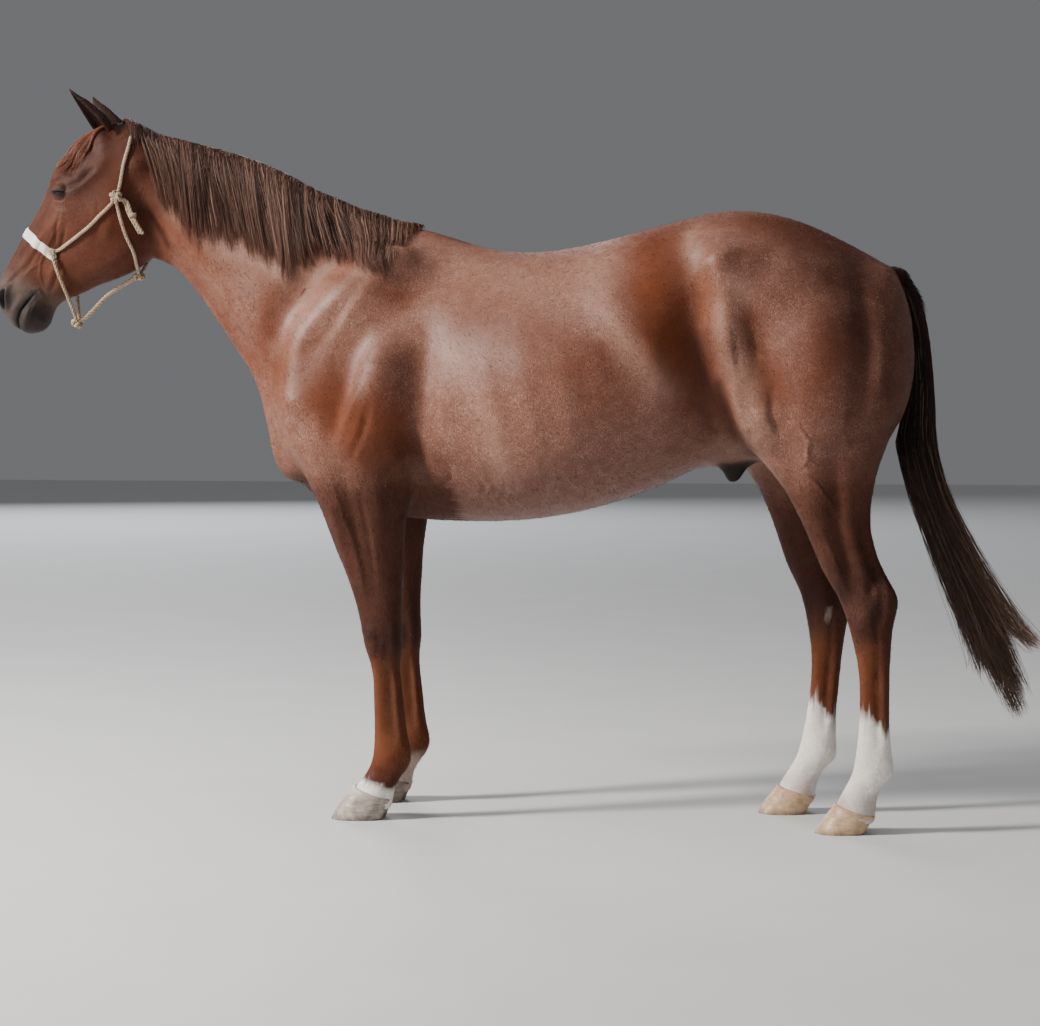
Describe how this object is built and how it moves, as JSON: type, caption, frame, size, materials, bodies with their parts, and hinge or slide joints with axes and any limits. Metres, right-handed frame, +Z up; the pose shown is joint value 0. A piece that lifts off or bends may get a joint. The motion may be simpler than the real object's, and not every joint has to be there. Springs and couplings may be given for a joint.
{
  "type": "horse",
  "caption": "Standing strawberry-roan horse in a rope halter, a still life-size animal model with square stance, mane on the left of the neck and a dark wind-blown tail.",
  "frame": {"origin": "centre of the bounding box's footprint, on the floor under the hooves", "axes": "+Z up; the horse faces -X; its left side is -Y"},
  "size_m": [2.6157, 0.5792, 1.8188],
  "materials": {
    "coat_roan": "matte hair coat",
    "coat_chestnut": "matte hair coat",
    "horn": "worn hoof horn",
    "eye": "wet gloss",
    "mane_hair": "matte hair",
    "tail_hair": "matte hair",
    "halter_rope": "matte braided cord"
  },
  "bodies": {
    "root": {"trunk": "coat_roan", "neck": "coat_roan", "head": "coat_chestnut", "foreleg_left": "coat_chestnut", "foreleg_right": "coat_chestnut", "hindleg_left": "coat_chestnut", "hindleg_right": "coat_chestnut", "hoof_fore_left": "horn", "hoof_fore_right": "horn", "hoof_hind_left": "horn", "hoof_hind_right": "horn", "ear_left": "coat_chestnut", "ear_right": "coat_chestnut", "eye_left": "eye", "eye_right": "eye", "mane": "mane_hair", "forelock": "mane_hair", "tail": "tail_hair", "noseband": "halter_rope", "nose_knot_left": "halter_rope", "nose_knot_right": "halter_rope", "cheek_knot_left": "halter_rope", "cheek_knot_right": "halter_rope", "cheek_rope_left": "halter_rope", "cheek_rope_right": "halter_rope", "crown_rope": "halter_rope", "throat_rope_left": "halter_rope", "throat_rope_right": "halter_rope", "throat_knot": "halter_rope", "chin_rope_left": "halter_rope", "chin_rope_right": "halter_rope", "fiador_knot": "halter_rope", "fiador_rope": "halter_rope"}
  },
  "joints": []
}
